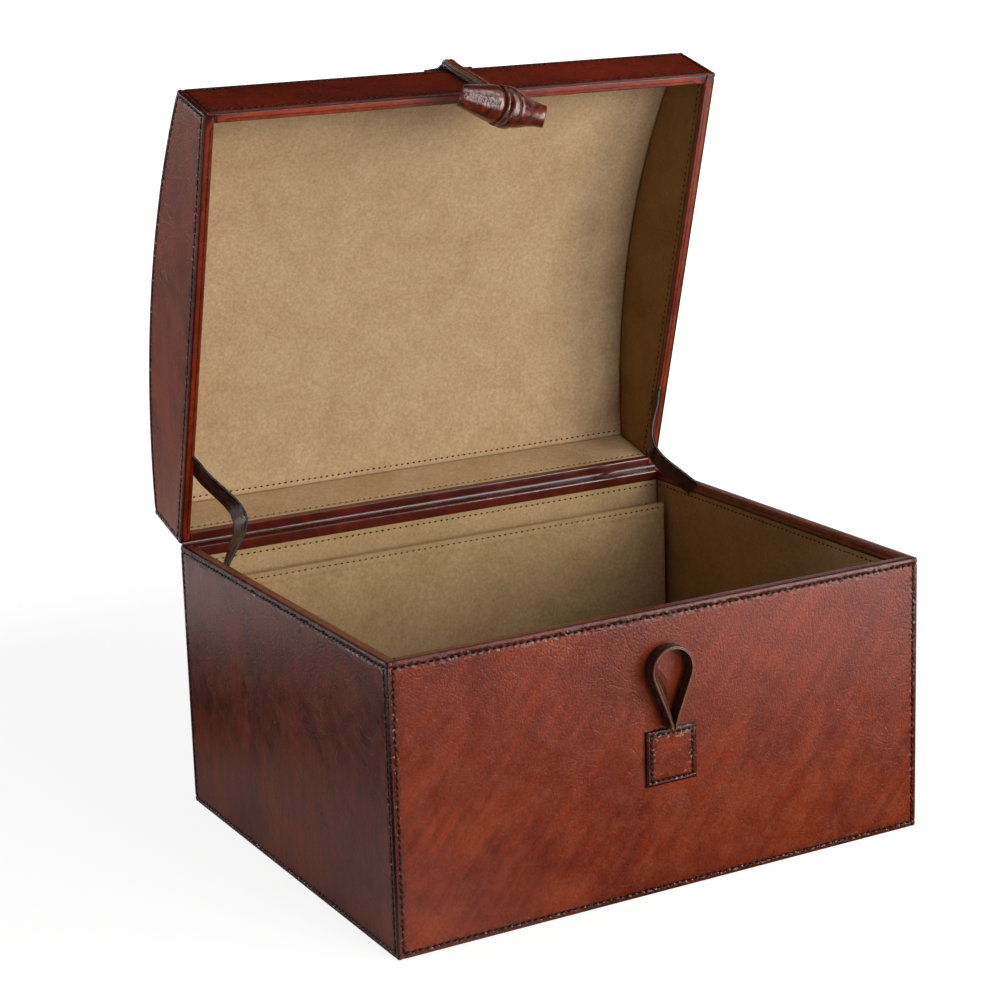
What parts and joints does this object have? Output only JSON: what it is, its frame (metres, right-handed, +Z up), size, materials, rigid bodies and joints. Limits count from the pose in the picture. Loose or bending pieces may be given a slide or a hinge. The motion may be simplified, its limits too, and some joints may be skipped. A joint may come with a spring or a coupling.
{
  "type": "leather keepsake box",
  "caption": "Leather-covered keepsake box with a domed lid on a leather hinge, suede lining, rear pocket, stay straps and a toggle-and-loop closure.",
  "frame": {"origin": "centre of the box's underside", "axes": "+X to the right as seen from the front, +Y toward the hinge, +Z up"},
  "size_m": [0.33, 0.3156, 0.4298],
  "materials": {
    "outer_leather": "semi-gloss, mottled reddish brown with burnished dark edges",
    "rim_leather": "semi-gloss, brighter red-brown",
    "strap_leather": "waxed, near-black brown",
    "toggle_leather": "glossy, wrinkled red-brown",
    "suede": "matt tan suede",
    "board": "raw board, hidden"
  },
  "bodies": {
    "box": {"front_board": "board", "back_board": "board", "left_board": "board", "right_board": "board", "floor_board": "board", "front_leather": "outer_leather", "back_leather": "outer_leather", "left_leather": "outer_leather", "right_leather": "outer_leather", "floor_leather": "outer_leather", "front_rim": "rim_leather", "back_rim": "rim_leather", "left_rim": "rim_leather", "right_rim": "rim_leather", "front_lining": "suede", "back_lining": "suede", "left_lining": "suede", "right_lining": "suede", "floor_lining": "suede", "pocket_panel": "suede", "left_pocket_gusset": "suede", "right_pocket_gusset": "suede", "closure_patch": "outer_leather", "hinge_leather": "outer_leather", "left_stay": "strap_leather", "right_stay": "strap_leather"},
    "lid": {"lid_front_board": "board", "lid_back_board": "board", "lid_left_board": "board", "lid_right_board": "board", "lid_dome_board": "board", "lid_front_leather": "outer_leather", "lid_back_leather": "outer_leather", "lid_left_leather": "outer_leather", "lid_right_leather": "outer_leather", "lid_dome_leather": "outer_leather", "lid_front_rim": "rim_leather", "lid_back_rim": "rim_leather", "lid_left_rim": "rim_leather", "lid_right_rim": "rim_leather", "lid_front_lining": "suede", "lid_back_lining": "suede", "lid_left_lining": "suede", "lid_right_lining": "suede", "lid_dome_lining": "suede", "dome_patch": "outer_leather"},
    "toggle": {"toggle_strap": "strap_leather", "toggle_roll": "toggle_leather", "toggle_wrap": "toggle_leather"},
    "loop": {"closure_loop": "strap_leather"}
  },
  "joints": [
    {"name": "lid_hinge", "type": "hinge", "parent": "box", "child": "lid", "pos_m": [0, 0.133, 0.158], "axis": [-1, 0, 0], "range_deg": [-74, 14], "deforming": ["hinge_leather", "left_stay", "right_stay"]},
    {"name": "toggle_swing", "type": "hinge", "parent": "lid", "child": "toggle", "pos_m": [0.0043, 0.07827, 0.42251], "axis": [-1, 0, 0], "range_deg": [-6.5, 32.9], "deforming": ["toggle_strap"]},
    {"name": "loop_swing", "type": "hinge", "parent": "box", "child": "loop", "pos_m": [0, -0.135, 0.0925], "axis": [1, 0, 0], "range_deg": [0, 90]}
  ],
  "couplings": [
    {"joint": "toggle_swing", "follows": "lid_hinge", "ratio": -0.44}
  ]
}
